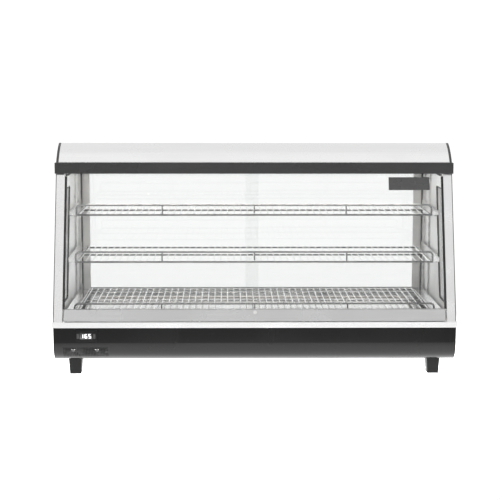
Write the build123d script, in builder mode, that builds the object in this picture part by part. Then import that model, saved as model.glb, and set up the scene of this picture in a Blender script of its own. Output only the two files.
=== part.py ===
from build123d import *

import os
from math import asin, atan2, cos, sin

os.makedirs("parts", exist_ok=True)

# Free-standing heated display case, 1.2 m wide, for a counter.
# Origin: centre of the footprint, on the counter. +X width, front faces -Y, +Z up. Millimetres.

# ---------------------------------------------------------------- driving dimensions
DECK_WIDTH = 1208.0  # widest piece: the stainless deck
CASE_WIDTH = 1200.0
CASE_DEPTH = 568.0
CASE_HEIGHT = 692.0
FRONT = -CASE_DEPTH / 2
BACK = CASE_DEPTH / 2
SHEET = 1.5  # folded sheet thickness
HALF = CASE_WIDTH / 2
WALL_IN = 573.0  # inner face of each double side wall
WALL_GAP_IN = WALL_IN + SHEET
WALL_GAP_OUT = HALF - SHEET

BASE_LOW = 49.0
DECK_LOW = 155.0
DECK_TOP = 172.0
BASE_SETBACK = 3.0  # base front behind the deck lip
BASE_RADIUS = 60.0  # rolled lower front of the base

BAR_LOW = 603.0
BAR_TOP = 636.0
LEAN_RUN = 134.0  # how far the glass leans back between deck and bar
LEAN_START = 6.0
SLOPE = LEAN_RUN / (BAR_LOW - DECK_TOP)
SLOPE_COS = cos(atan2(LEAN_RUN, BAR_LOW - DECK_TOP))
FRAME_DEEP = 14.0  # depth of the front frame, square to the glass

BAR_FRONT = FRONT + 132.0
BAR_BACK = FRONT + 160.0
BAR_HALF = 603.0
CANOPY_EDGE = FRONT + 222.0  # crest of the canopy
CANOPY_FALL = 24.0  # how far the roof drops from its crest to the rear
CANOPY_HALF = 598.5
CAP = 7.5  # width of each canopy end cap

# Height of each shelf, and how far its rods along X stand behind the front plane.
SHELF_LEVELS = {
    "bottom": (187.0, (62.0, 288.0, 441.0, 501.0)),
    "middle": (337.0, (110.0, 266.0, 437.0)),
    "top": (476.0, (150.0, 286.0, 437.0)),
}
SHELF_HALF = 541.0
ROD = 3.0  # frame rod radius
WIRE = 1.75  # cross wire radius
WIRE_PITCH = 20.4
WIRE_COUNT = 53
GUARD_RISE = 30.0
GUARD_BEND = 12.0
GUARD_POSTS = (-280.0, 0.0, 280.0)

UPRIGHT_DEPTHS = (395.0, 505.0)  # behind the front plane
UPRIGHT_LOW = 178.0
UPRIGHT_HIGH = 596.0
SLOT_PITCH = 31.0
SLOT_WIDTH = 5.0
SLOT_TALL = 15.0

POST_FRONT = FRONT + 549.0
POST_BACK = FRONT + 565.0
INNER_LANE = FRONT + 540.0
OUTER_LANE = FRONT + 554.0
LANE_WIDTH = 12.4
RIB = 1.6
TRACK_FLOOR = 2.0
TRACK_TALL = 14.0
CEILING_LOW = 610.0
DOOR_GLASS = 4.0
DOOR_WIDTH = 594.0
PULL_WIDE = 32.0
PULL_DEEP = 11.0

HINGE_Y = FRONT + 145.1
HINGE_Z = 606.0
PIN = 3.0
RUNNING = 0.05  # radial clearance of a running fit

FOOT_X = 543.0
FOOT_FRONT = FRONT + 94.0
FOOT_REAR = FRONT + 505.0
BOLT = 4.0

CONTROL_X = -500.5
CONTROL_Z = 130.5


def front_y(height, inset=0.0):
    """Y of the leaning front plane at a height, moved back square to the glass."""
    return FRONT + LEAN_START + SLOPE * (height - DECK_TOP) + inset / SLOPE_COS


def lean_band(low, high, near, far):
    """Side view of a strip that leans with the glass, between two heights and two insets."""
    return [
        (front_y(low, near), low),
        (front_y(low, far), low),
        (front_y(high, far), high),
        (front_y(high, near), high),
    ]


def wall_outline():
    """Side view of one sheet of a side wall, behind the front frame."""
    return [
        (front_y(DECK_TOP, FRAME_DEEP), DECK_TOP),
        (POST_FRONT, DECK_TOP),
        (POST_FRONT, BAR_TOP - 2 * SHEET),
        (BAR_FRONT + 2 * SHEET, BAR_TOP - 2 * SHEET),
        (BAR_FRONT + 2 * SHEET, BAR_LOW),
        (front_y(BAR_LOW, FRAME_DEEP), BAR_LOW),
    ]


def save(builder, name):
    """Label one finished piece and write its file."""
    builder.part.label = name
    export_step(builder.part, f"parts/{name}.step")


SIDES = (("left", -1), ("right", 1))


def span(side_sign, near, far):
    """Start and signed length along X of something mirrored to either side."""
    return side_sign * near, side_sign * (far - near)


# ---------------------------------------------------------------- feet
FOOT_TOP = (40.0, 54.0)
FOOT_TOE = (34.0, 44.0)
BOLT_HEAD_DEEP = 14.0

for end, foot_y in (("front", FOOT_FRONT), ("rear", FOOT_REAR)):
    for side, sign in SIDES:
        with BuildPart() as foot:
            with BuildSketch(Plane.XY):
                with Locations((sign * FOOT_X, foot_y)):
                    RectangleRounded(*FOOT_TOE, 4)
            with BuildSketch(Plane.XY.offset(BASE_LOW)):
                with Locations((sign * FOOT_X, foot_y)):
                    RectangleRounded(*FOOT_TOP, 4)
            loft()
            with Locations((sign * FOOT_X, foot_y, 0)):
                CounterBoreHole(BOLT + 0.2, 2.2 * BOLT, BOLT_HEAD_DEEP)
                Hole(BOLT + 0.2)
            with BuildSketch(Plane.XY):
                with Locations((sign * FOOT_X, foot_y)):
                    Circle(2.2 * BOLT)
            extrude(amount=BOLT_HEAD_DEEP, mode=Mode.SUBTRACT)
        save(foot, f"foot_{end}_{side}")

FOOT_SPOTS = [(sx * FOOT_X, fy) for sx in (-1, 1) for fy in (FOOT_FRONT, FOOT_REAR)]

with BuildPart() as foot_bolts:
    with BuildSketch(Plane.XY.offset(BOLT_HEAD_DEEP - 5)):
        with Locations(*FOOT_SPOTS):
            RegularPolygon(1.8 * BOLT, 6)
    extrude(amount=5)
    with BuildSketch(Plane.XY.offset(BOLT_HEAD_DEEP)):
        with Locations(*FOOT_SPOTS):
            Circle(BOLT)
    extrude(amount=BASE_LOW + 14 - BOLT_HEAD_DEEP)
    with BuildSketch(Plane.XY.offset(BASE_LOW + SHEET)):
        with Locations(*FOOT_SPOTS):
            RegularPolygon(1.8 * BOLT, 6)
    extrude(amount=6)
save(foot_bolts, "foot_bolts")

# ---------------------------------------------------------------- base cabinet
BASE_FRONT = FRONT + BASE_SETBACK
BASE_BACK = BACK - BASE_SETBACK
BASE_TOP = DECK_TOP - SHEET
ROLL_TOP = BASE_LOW + BASE_RADIUS
LIP_BACK = BASE_FRONT + BASE_RADIUS + 12

with BuildPart() as base_bottom:
    with BuildSketch(Plane.XY.offset(BASE_LOW)):
        with Locations((0, (LIP_BACK + BASE_BACK) / 2)):
            Rectangle(2 * WALL_GAP_OUT, BASE_BACK - LIP_BACK)
        with Locations(*FOOT_SPOTS):
            Circle(BOLT + 0.2, mode=Mode.SUBTRACT)
        with Locations((0, FRONT + 300)):
            with GridLocations(60, 40, 5, 4):
                SlotOverall(40, 5, mode=Mode.SUBTRACT)
    extrude(amount=SHEET)
save(base_bottom, "base_bottom")

VENT_X = -504.5
VENT_Z = 80.0
VENT_PITCH = 4.5
VENT_HOLE = 2.8
CASE_CUT = (60.0, 33.0)  # controller cut-out
SCREW_X = (-541.0, -470.5)
SCREW_Z = 88.0
SCREW_TILT = asin((ROLL_TOP - SCREW_Z) / BASE_RADIUS)
screw_plane = Plane(
    origin=(0, BASE_FRONT + BASE_RADIUS * (1 - cos(SCREW_TILT)), SCREW_Z),
    x_dir=(1, 0, 0),
    z_dir=(0, -cos(SCREW_TILT), -sin(SCREW_TILT)),
)

with BuildPart() as base_front:
    with BuildSketch(Plane.YZ.offset(-WALL_GAP_OUT)):
        with BuildLine():
            Line((BASE_FRONT, BASE_TOP), (BASE_FRONT, ROLL_TOP))
            TangentArc((BASE_FRONT, ROLL_TOP), (BASE_FRONT + BASE_RADIUS, BASE_LOW), tangent=(0, -1))
            Polyline(
                (BASE_FRONT + BASE_RADIUS, BASE_LOW),
                (LIP_BACK, BASE_LOW),
                (LIP_BACK, BASE_LOW + SHEET),
                (BASE_FRONT + BASE_RADIUS, BASE_LOW + SHEET),
            )
            TangentArc(
                (BASE_FRONT + BASE_RADIUS, BASE_LOW + SHEET),
                (BASE_FRONT + SHEET, ROLL_TOP),
                tangent=(-1, 0),
            )
            Polyline((BASE_FRONT + SHEET, ROLL_TOP), (BASE_FRONT + SHEET, BASE_TOP), (BASE_FRONT, BASE_TOP))
        make_face()
    extrude(amount=2 * WALL_GAP_OUT)
    with BuildSketch(Plane.XZ.offset(-FRONT - BASE_RADIUS)):
        with Locations((VENT_X, VENT_Z)):
            with GridLocations(VENT_PITCH, VENT_PITCH, 30, 7):
                Rectangle(VENT_HOLE, VENT_HOLE)
        with Locations((CONTROL_X, CONTROL_Z)):
            Rectangle(*CASE_CUT)
    extrude(amount=BASE_RADIUS + 5, mode=Mode.SUBTRACT)
    with BuildSketch(screw_plane):
        with Locations(*[(screw_x, 0) for screw_x in SCREW_X]):
            Circle(2.5)
    extrude(amount=5, both=True, mode=Mode.SUBTRACT)
save(base_front, "base_front")

for side, sign in SIDES:
    start, length = span(sign, WALL_GAP_OUT, HALF)
    with BuildPart() as base_end:
        with BuildSketch(Plane.YZ.offset(start)):
            with BuildLine():
                Line((BASE_FRONT, BASE_TOP), (BASE_FRONT, ROLL_TOP))
                TangentArc((BASE_FRONT, ROLL_TOP), (BASE_FRONT + BASE_RADIUS, BASE_LOW), tangent=(0, -1))
                Polyline(
                    (BASE_FRONT + BASE_RADIUS, BASE_LOW),
                    (BASE_BACK, BASE_LOW),
                    (BASE_BACK, BASE_TOP),
                    (BASE_FRONT, BASE_TOP),
                )
            make_face()
            with Locations((FRONT + 440, 100)):
                with GridLocations(36, 12, 4, 4):
                    SlotOverall(28, 4, mode=Mode.SUBTRACT)
        extrude(amount=length)
    save(base_end, f"base_end_{side}")

SWITCH_Z = 112.0
SWITCH_SPOTS = {"power": -440.0, "light": -480.0}
SWITCH_CUT = (13.0, 19.0)
GLAND_X = -380.0
GLAND_Z = 80.0
GLAND = 8.0

with BuildPart() as base_rear:
    with BuildSketch(Plane.XZ.offset(-BASE_BACK)):
        with Locations((0, (BASE_LOW + SHEET + BASE_TOP) / 2)):
            Rectangle(2 * WALL_GAP_OUT, BASE_TOP - BASE_LOW - SHEET)
        for switch_x in SWITCH_SPOTS.values():
            with Locations((switch_x, SWITCH_Z)):
                Rectangle(*SWITCH_CUT, mode=Mode.SUBTRACT)
        with Locations((GLAND_X, GLAND_Z)):
            Circle(GLAND, mode=Mode.SUBTRACT)
        with Locations((200, 100)):
            with GridLocations(60, 12, 6, 4):
                SlotOverall(45, 4, mode=Mode.SUBTRACT)
    extrude(amount=SHEET)
save(base_rear, "base_rear")

ELEMENT = 4.0
ELEMENT_Z = 178.0
ELEMENT_X = 500.0
ELEMENT_RUNS = (FRONT + 150.0, FRONT + 400.0)

with BuildPart() as deck:
    with BuildSketch(Plane.XY.offset(DECK_LOW)):
        RectangleRounded(DECK_WIDTH, CASE_DEPTH, 3)
    extrude(amount=DECK_TOP - DECK_LOW)
    fillet(deck.edges().group_by(Axis.Z)[-1], radius=1.2)
    with BuildSketch(Plane.XY.offset(DECK_LOW)):
        RectangleRounded(DECK_WIDTH - 2 * SHEET, CASE_DEPTH - 2 * SHEET, 1.6)
    extrude(amount=DECK_TOP - DECK_LOW - SHEET, mode=Mode.SUBTRACT)
    with BuildSketch(Plane.XY.offset(DECK_TOP)):
        with Locations(*[(-ELEMENT_X, run) for run in ELEMENT_RUNS]):
            Circle(ELEMENT + 1)
    extrude(amount=-2 * SHEET, mode=Mode.SUBTRACT)
save(deck, "deck")

# ---------------------------------------------------------------- heating element under the bottom shelf
with BuildPart() as heating_element:
    with BuildLine() as element_path:
        FilletPolyline(
            (-ELEMENT_X, ELEMENT_RUNS[0], DECK_LOW - 6),
            (-ELEMENT_X, ELEMENT_RUNS[0], ELEMENT_Z),
            (ELEMENT_X, ELEMENT_RUNS[0], ELEMENT_Z),
            (ELEMENT_X, ELEMENT_RUNS[1], ELEMENT_Z),
            (-ELEMENT_X, ELEMENT_RUNS[1], ELEMENT_Z),
            (-ELEMENT_X, ELEMENT_RUNS[1], DECK_LOW - 6),
            radius=2.5 * ELEMENT,
        )
    with BuildSketch(Plane(element_path.line @ 0, z_dir=(0, 0, 1))):
        Circle(ELEMENT)
    sweep()
save(heating_element, "heating_element")

CLIP_SPOTS = [(cx, run) for cx in (-300, 0, 300) for run in ELEMENT_RUNS]

with BuildPart() as element_clips:
    with BuildSketch(Plane.XY.offset(DECK_TOP)):
        with Locations(*CLIP_SPOTS):
            Rectangle(10, 14)
    extrude(amount=ELEMENT_Z - DECK_TOP)
    with BuildSketch(Plane.YZ.offset(-ELEMENT_X)):
        with Locations(*[(run, ELEMENT_Z) for run in ELEMENT_RUNS]):
            Circle(ELEMENT)
    extrude(amount=2 * ELEMENT_X, mode=Mode.SUBTRACT)
save(element_clips, "element_clips")

# ---------------------------------------------------------------- temperature controller
BEZEL = (63.0, 36.0)
BEZEL_PROUD = 3.0
CASE_BEHIND = 58.0
WINDOW_X = CONTROL_X - 2.0
WINDOW = (36.0, 18.0)
KEY = (7.0, 14.0)
KEY_SPOTS = {"down": CONTROL_X + 23.0, "set": CONTROL_X - 25.5}
KEY_DEEP = 4.5
FACE_Y = BASE_FRONT - BEZEL_PROUD

with BuildPart() as controller_body:
    with BuildSketch(Plane.XZ.offset(-FACE_Y)):
        with Locations((CONTROL_X, CONTROL_Z)):
            RectangleRounded(*BEZEL, 2)
    extrude(amount=-BEZEL_PROUD)
    with BuildSketch(Plane.XZ.offset(-BASE_FRONT)):
        with Locations((CONTROL_X, CONTROL_Z)):
            Rectangle(CASE_CUT[0] - 1, CASE_CUT[1] - 1)
    extrude(amount=-CASE_BEHIND)
    with BuildSketch(Plane.XZ.offset(-FACE_Y)):
        for key_x in KEY_SPOTS.values():
            with Locations((key_x, CONTROL_Z)):
                Rectangle(KEY[0] + 0.6, KEY[1] + 0.6)
    extrude(amount=-KEY_DEEP - 1, mode=Mode.SUBTRACT)
    with BuildSketch(Plane.XZ.offset(-FACE_Y)):
        with Locations((WINDOW_X, CONTROL_Z)):
            Rectangle(*WINDOW)
    extrude(amount=-1, mode=Mode.SUBTRACT)
save(controller_body, "controller_body")

for key, key_x in KEY_SPOTS.items():
    with BuildPart() as button:
        with BuildSketch(Plane.XZ.offset(-FACE_Y + 1)):
            with Locations((key_x, CONTROL_Z)):
                RectangleRounded(*KEY, 1)
        extrude(amount=-KEY_DEEP)
        fillet(button.faces().sort_by(Axis.Y)[0].edges(), radius=0.5)
    save(button, f"button_{key}")

with BuildPart() as panel_screws:
    with BuildSketch(screw_plane):
        with Locations(*[(screw_x, 0) for screw_x in SCREW_X]):
            Circle(4.5)
    extrude(amount=2.2)
    with BuildSketch(screw_plane):
        with Locations(*[(screw_x, 0) for screw_x in SCREW_X]):
            Circle(2.4)
    extrude(amount=-12)
save(panel_screws, "panel_screws")

# ---------------------------------------------------------------- side walls
WINDOW_LOW = 216.0
WINDOW_HIGH = 556.0
WINDOW_NEAR = 34.0
WINDOW_FAR = 150.0
WINDOW_CORNER = 14.0
RING = 1.5


def window_sketch(grow=0.0):
    """Rounded parallelogram of the side window, in the side view."""
    with BuildSketch(mode=Mode.PRIVATE) as window:
        with BuildLine():
            Polyline(
                *lean_band(WINDOW_LOW - grow, WINDOW_HIGH + grow, WINDOW_NEAR - grow, WINDOW_FAR + grow),
                close=True,
            )
        make_face()
        fillet(window.vertices(), radius=WINDOW_CORNER + grow)
    return window.sketch


window_hole = window_sketch()
window_ring = window_sketch(RING)

for side, sign in SIDES:
    for layer, near, far in (("inner", WALL_IN, WALL_GAP_IN), ("outer", WALL_GAP_OUT, HALF)):
        start, length = span(sign, near, far)
        with BuildPart() as side_skin:
            with BuildSketch(Plane.YZ.offset(start)):
                with BuildLine():
                    Polyline(*wall_outline(), close=True)
                make_face()
                add(window_ring, mode=Mode.SUBTRACT)
                if layer == "inner":
                    with Locations((HINGE_Y, HINGE_Z)):
                        Circle(PIN + RUNNING, mode=Mode.SUBTRACT)
            extrude(amount=length)
        save(side_skin, f"side_skin_{layer}_{side}")

with BuildPart() as window_frames:
    for side, sign in SIDES:
        start, length = span(sign, WALL_IN, HALF)
        with BuildSketch(Plane.YZ.offset(start)):
            add(window_ring)
            add(window_hole, mode=Mode.SUBTRACT)
        extrude(amount=length)
save(window_frames, "window_frames")

PANE = 4.0

for side, sign in SIDES:
    start, length = span(sign, (WALL_IN + HALF - PANE) / 2, (WALL_IN + HALF + PANE) / 2)
    with BuildPart() as side_glass:
        with BuildSketch(Plane.YZ.offset(start)):
            add(window_hole)
        extrude(amount=length)
    save(side_glass, f"side_glass_{side}")

for side, sign in SIDES:
    with BuildPart() as front_stile:
        start, length = span(sign, WALL_IN, HALF)
        with BuildSketch(Plane.YZ.offset(start)):
            with BuildLine():
                Polyline(*lean_band(DECK_TOP, BAR_LOW, 0, FRAME_DEEP), close=True)
            make_face()
        extrude(amount=length)
        start, length = span(sign, WALL_GAP_IN, WALL_GAP_OUT)
        with BuildSketch(Plane.YZ.offset(start)):
            with BuildLine():
                Polyline(*lean_band(DECK_TOP, BAR_LOW, SHEET, FRAME_DEEP), close=True)
            make_face()
        extrude(amount=length, mode=Mode.SUBTRACT)
    save(front_stile, f"front_stile_{side}")

# ---------------------------------------------------------------- hinged front glass
RAIL_LOW = DECK_TOP + 1.5
RAIL_TOP = 207.0
RAIL_HALF = 568.0
PANE_NEAR = 4.0  # glass behind the front plane of the frame
FRONT_PANE = 5.0
PANE_FAR = PANE_NEAR + FRONT_PANE
PANE_HALF = 566.0
SEAL_IN = 567.0
SEAT = 190.0  # bottom edge of the glass inside the rail

with BuildPart() as side_seals:
    for side, sign in SIDES:
        start, length = span(sign, SEAL_IN, WALL_IN)
        with BuildSketch(Plane.YZ.offset(start)):
            with BuildLine():
                Polyline(*lean_band(RAIL_TOP + 1, BAR_LOW - 9, 2, 12), close=True)
            make_face()
        extrude(amount=length)
        with BuildSketch(Plane.YZ.offset(start)):
            with Locations((FRONT + 225, BAR_LOW - 7)):
                Rectangle(110, 6)
        extrude(amount=length)
save(side_seals, "side_seals")

with BuildPart() as front_glass:
    with BuildSketch(Plane.YZ.offset(-PANE_HALF)):
        with BuildLine():
            Polyline(*lean_band(SEAT, HINGE_Z + 12, PANE_NEAR, PANE_FAR), close=True)
        make_face()
    extrude(amount=2 * PANE_HALF)
save(front_glass, "front_glass")

with BuildPart() as front_rail:
    with BuildSketch(Plane.YZ.offset(-RAIL_HALF)):
        with BuildLine():
            Polyline(*lean_band(RAIL_LOW, RAIL_TOP, 0, FRAME_DEEP), close=True)
        make_face()
    extrude(amount=2 * RAIL_HALF)
    with BuildSketch(Plane.YZ.offset(-PANE_HALF)):
        with BuildLine():
            Polyline(*lean_band(SEAT, RAIL_TOP + 1, PANE_NEAR, PANE_FAR), close=True)
        make_face()
    extrude(amount=2 * PANE_HALF, mode=Mode.SUBTRACT)
    with BuildSketch(Plane.YZ.offset(-RAIL_HALF)):
        with BuildLine():
            Polyline(*lean_band(RAIL_LOW, SEAT - 2, 1.5, FRAME_DEEP - 1.5), close=True)
        make_face()
    extrude(amount=2 * RAIL_HALF, mode=Mode.SUBTRACT)
save(front_rail, "front_rail")

KNOB_Z = 199.0
knob_plane = Plane(
    origin=(0, front_y(KNOB_Z), KNOB_Z),
    x_dir=(1, 0, 0),
    z_dir=(0, -SLOPE_COS, SLOPE * SLOPE_COS),
)

with BuildPart() as rail_knob:
    with BuildSketch(knob_plane):
        Circle(3.2)
    extrude(amount=3)
    with BuildSketch(knob_plane.offset(3)):
        Circle(5.5)
    extrude(amount=4)
    fillet(rail_knob.edges().filter_by(GeomType.CIRCLE).sort_by(Axis.Y)[0], radius=1.2)
save(rail_knob, "rail_knob")

CLAMP = 2.5

with BuildPart() as front_hinge:
    with BuildSketch(Plane.YZ.offset(-PANE_HALF)):
        with BuildLine():
            Polyline(*lean_band(HINGE_Z - 4, HINGE_Z + 16, PANE_FAR, PANE_FAR + CLAMP), close=True)
        make_face()
        with BuildLine():
            Polyline(
                *lean_band(HINGE_Z + 5, HINGE_Z + 16, PANE_NEAR - CLAMP, PANE_NEAR),
                close=True,
            )
        make_face()
        with BuildLine():
            Polyline(
                *lean_band(HINGE_Z + 12, HINGE_Z + 16, PANE_NEAR - CLAMP, PANE_FAR + CLAMP),
                close=True,
            )
        make_face()
    extrude(amount=2 * PANE_HALF)
    for side, sign in SIDES:
        start, length = span(sign, PANE_HALF, WALL_IN + 6)
        with BuildSketch(Plane.YZ.offset(start)):
            with Locations((HINGE_Y, HINGE_Z)):
                Circle(PIN)
        extrude(amount=length)
        start, length = span(sign, PANE_HALF, PANE_HALF + 3)
        with BuildSketch(Plane.YZ.offset(start)):
            with BuildLine():
                Polyline(
                    *lean_band(HINGE_Z - 4, HINGE_Z + 16, PANE_NEAR - CLAMP, PANE_FAR + CLAMP),
                    close=True,
                )
            make_face()
        extrude(amount=length)
save(front_hinge, "front_hinge")

BADGE_LOW = 554.0
BADGE_HIGH = 592.0
BADGE_SPAN = (407.0, 531.0)

with BuildPart() as badge_plate:
    with BuildSketch(Plane.YZ.offset(BADGE_SPAN[0])):
        with BuildLine():
            Polyline(*lean_band(BADGE_LOW, BADGE_HIGH, PANE_NEAR - 1, PANE_NEAR), close=True)
        make_face()
    extrude(amount=BADGE_SPAN[1] - BADGE_SPAN[0])
save(badge_plate, "badge_plate")

# ---------------------------------------------------------------- black bar and canopy
BAR_SHEET = 1.5

with BuildPart() as top_bar:
    with BuildSketch(Plane.YZ.offset(-BAR_HALF)):
        with Locations(((BAR_FRONT + BAR_BACK) / 2, (BAR_LOW + BAR_TOP) / 2)):
            Rectangle(BAR_BACK - BAR_FRONT, BAR_TOP - BAR_LOW)
    extrude(amount=2 * BAR_HALF)
    fillet(top_bar.edges().filter_by(Axis.X).group_by(Axis.Y)[0], radius=1)
    with BuildSketch(Plane.YZ.offset(-HALF)):
        with Locations(((BAR_FRONT + BAR_BACK) / 2 + BAR_SHEET, (BAR_LOW + BAR_TOP) / 2 - BAR_SHEET)):
            Rectangle(BAR_BACK - BAR_FRONT, BAR_TOP - BAR_LOW)
    extrude(amount=2 * HALF, mode=Mode.SUBTRACT)
save(top_bar, "top_bar")

CANOPY_TOE = BAR_FRONT + 3.0
CREST_RADIUS = 12.0


def canopy_sketch(inset):
    """Side view of the canopy, shrunk by an inset on every side but the open bottom."""
    toe = CANOPY_TOE + inset
    high = CASE_HEIGHT - inset
    rear = POST_BACK - inset
    with BuildSketch(mode=Mode.PRIVATE) as outline:
        with BuildLine():
            ThreePointArc((toe, BAR_TOP), (toe + 33, BAR_TOP + 32), (CANOPY_EDGE - 6, high))
            Polyline((CANOPY_EDGE - 6, high), (rear, high - CANOPY_FALL), (rear, BAR_TOP), (toe, BAR_TOP))
        make_face()
        fillet(outline.vertices().sort_by(Axis.Y)[-1], CREST_RADIUS - inset)
    return outline.sketch


with BuildPart() as canopy:
    with BuildSketch(Plane.YZ.offset(CAP - CANOPY_HALF)):
        add(canopy_sketch(0))
        add(canopy_sketch(SHEET), mode=Mode.SUBTRACT)
    extrude(amount=2 * (CANOPY_HALF - CAP))
    with BuildSketch(Plane.YZ.offset(CAP - CANOPY_HALF)):
        with Locations((POST_BACK - SHEET / 2, (CEILING_LOW + BAR_TOP) / 2)):
            Rectangle(SHEET, BAR_TOP - CEILING_LOW)
    extrude(amount=2 * (CANOPY_HALF - CAP))
save(canopy, "canopy")

for side, sign in SIDES:
    start, length = span(sign, CANOPY_HALF - CAP, CANOPY_HALF)
    with BuildPart() as canopy_end:
        with BuildSketch(Plane.YZ.offset(start)):
            add(canopy_sketch(0))
        extrude(amount=length)
    save(canopy_end, f"canopy_end_{side}")

CEILING_FRONT = FRONT + 176.0

with BuildPart() as ceiling:
    with BuildSketch(Plane.XY.offset(CEILING_LOW)):
        with Locations((0, (CEILING_FRONT + POST_FRONT) / 2)):
            Rectangle(2 * WALL_IN, POST_FRONT - CEILING_FRONT)
    extrude(amount=SHEET)
    with BuildSketch(Plane.XY.offset(CEILING_LOW)):
        with Locations((0, (POST_FRONT + POST_BACK - SHEET) / 2)):
            Rectangle(2 * WALL_IN, POST_BACK - SHEET - POST_FRONT)
    extrude(amount=SHEET)
    with BuildSketch(Plane.XY.offset(CEILING_LOW + SHEET)):
        with Locations((0, CEILING_FRONT + SHEET / 2)):
            Rectangle(2 * WALL_IN, SHEET)
    extrude(amount=BAR_TOP - CEILING_LOW - 4 * SHEET)
save(ceiling, "ceiling")

LAMP_Y = FRONT + 196.0
LAMP_HALF = 520.0

with BuildPart() as lamp_housing:
    with BuildSketch(Plane.YZ.offset(-LAMP_HALF)):
        with Locations((LAMP_Y, CEILING_LOW - 5)):
            Rectangle(26, 10)
        with Locations((LAMP_Y, CEILING_LOW - 7)):
            Rectangle(20, 6, mode=Mode.SUBTRACT)
    extrude(amount=2 * LAMP_HALF)
save(lamp_housing, "lamp_housing")

with BuildPart() as lamp_lens:
    with BuildSketch(Plane.YZ.offset(-LAMP_HALF)):
        with Locations((LAMP_Y, CEILING_LOW - 8)):
            Rectangle(20, 4)
    extrude(amount=2 * LAMP_HALF)
save(lamp_lens, "lamp_lens")

# ---------------------------------------------------------------- rear frame and sliding doors
for side, sign in SIDES:
    with BuildPart() as rear_post:
        start, length = span(sign, WALL_IN, HALF)
        with BuildSketch(Plane.YZ.offset(start)):
            with Locations(((POST_FRONT + POST_BACK) / 2, (DECK_TOP + BAR_TOP) / 2)):
                Rectangle(POST_BACK - POST_FRONT, BAR_TOP - DECK_TOP)
        extrude(amount=length)
        start, length = span(sign, WALL_GAP_IN, WALL_GAP_OUT)
        with BuildSketch(Plane.YZ.offset(start)):
            with Locations(((POST_FRONT + POST_BACK) / 2 - SHEET, (DECK_TOP + BAR_TOP) / 2)):
                Rectangle(POST_BACK - POST_FRONT, BAR_TOP - DECK_TOP)
        extrude(amount=length, mode=Mode.SUBTRACT)
        start, length = span(sign, CANOPY_HALF - CAP - 1, HALF)
        with BuildSketch(Plane.YZ.offset(start)):
            with Locations(((POST_FRONT + POST_BACK) / 2, BAR_TOP)):
                Rectangle(POST_BACK - POST_FRONT, 2 * SHEET)
        extrude(amount=length, mode=Mode.SUBTRACT)
        start, length = span(sign, WALL_IN - 1, CANOPY_HALF - CAP + 0.5)
        with BuildSketch(Plane.YZ.offset(start)):
            with Locations((POST_BACK, (CEILING_LOW + BAR_TOP) / 2)):
                Rectangle(2 * SHEET, BAR_TOP - CEILING_LOW + 1)
        extrude(amount=length, mode=Mode.SUBTRACT)
    save(rear_post, f"rear_post_{side}")

TRACK_MID = (INNER_LANE + OUTER_LANE) / 2
TRACK_DEEP = 2 * LANE_WIDTH + 3 * RIB

for place, floor_z, rise in (("bottom", DECK_TOP, 1), ("top", CEILING_LOW, -1)):
    with BuildPart() as door_track:
        with BuildSketch(Plane.YZ.offset(-WALL_IN)):
            with Locations((TRACK_MID, floor_z + rise * TRACK_TALL / 2)):
                Rectangle(TRACK_DEEP, TRACK_TALL)
            for lane in (INNER_LANE, OUTER_LANE):
                with Locations((lane, floor_z + rise * (TRACK_TALL / 2 + TRACK_FLOOR))):
                    Rectangle(LANE_WIDTH, TRACK_TALL, mode=Mode.SUBTRACT)
        extrude(amount=2 * WALL_IN)
    save(door_track, f"door_track_{place}")

DOOR_LOW = DECK_TOP + TRACK_FLOOR + 0.3
DOOR_HIGH = CEILING_LOW - 5.0
DOOR_CLEAR = 1.0
PULL_WEB = 2.0

for side, sign, lane in (("left", -1, INNER_LANE), ("right", 1, OUTER_LANE)):
    edge = WALL_IN - DOOR_CLEAR
    start, length = span(sign, edge - DOOR_WIDTH, edge - PULL_WEB)
    with BuildPart() as door_glass:
        with BuildSketch(Plane.YZ.offset(start)):
            with Locations((lane, (DOOR_LOW + DOOR_HIGH) / 2)):
                Rectangle(DOOR_GLASS, DOOR_HIGH - DOOR_LOW)
        extrude(amount=length)
    save(door_glass, f"door_glass_{side}")

    start, length = span(sign, edge - PULL_WIDE, edge)
    with BuildPart() as door_pull:
        with BuildSketch(Plane.YZ.offset(start)):
            with Locations((lane, (DOOR_LOW + DOOR_HIGH) / 2)):
                Rectangle(PULL_DEEP, DOOR_HIGH - DOOR_LOW)
        extrude(amount=length)
        start, length = span(sign, edge - PULL_WIDE, edge - PULL_WEB)
        with BuildSketch(Plane.YZ.offset(start)):
            with Locations((lane, (DOOR_LOW + DOOR_HIGH) / 2)):
                Rectangle(DOOR_GLASS, DOOR_HIGH - DOOR_LOW)
        extrude(amount=length, mode=Mode.SUBTRACT)
        with BuildSketch(Plane.XZ.offset(-lane - PULL_DEEP / 2)):
            with Locations((sign * (edge - PULL_WIDE / 2 - 1), 400)):
                SlotOverall(140, 9, rotation=90)
        extrude(amount=2.5, mode=Mode.SUBTRACT)
    save(door_pull, f"door_pull_{side}")

GASKET_WIDE = 10.0
GASKET_DEEP = 9.0

with BuildPart() as door_gaskets:
    for side, sign in SIDES:
        start, length = span(sign, WALL_IN - GASKET_WIDE, WALL_IN)
        with BuildSketch(Plane.YZ.offset(start)):
            with Locations((TRACK_MID - (TRACK_DEEP + GASKET_DEEP) / 2, (DECK_TOP + CEILING_LOW) / 2)):
                Rectangle(GASKET_DEEP, CEILING_LOW - DECK_TOP)
        extrude(amount=length)
save(door_gaskets, "door_gaskets")

# ---------------------------------------------------------------- shelf supports and wire shelves
UPRIGHT_WIDE = 20.0
UPRIGHT_DEEP = 6.0
UPRIGHT_FACE = WALL_IN - UPRIGHT_DEEP
SLOT_COUNT = 13
FLANGE_SLOT = 3.0  # width of the slots in the front flange
SLOT_MID = (UPRIGHT_LOW + UPRIGHT_HIGH) / 2

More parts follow.
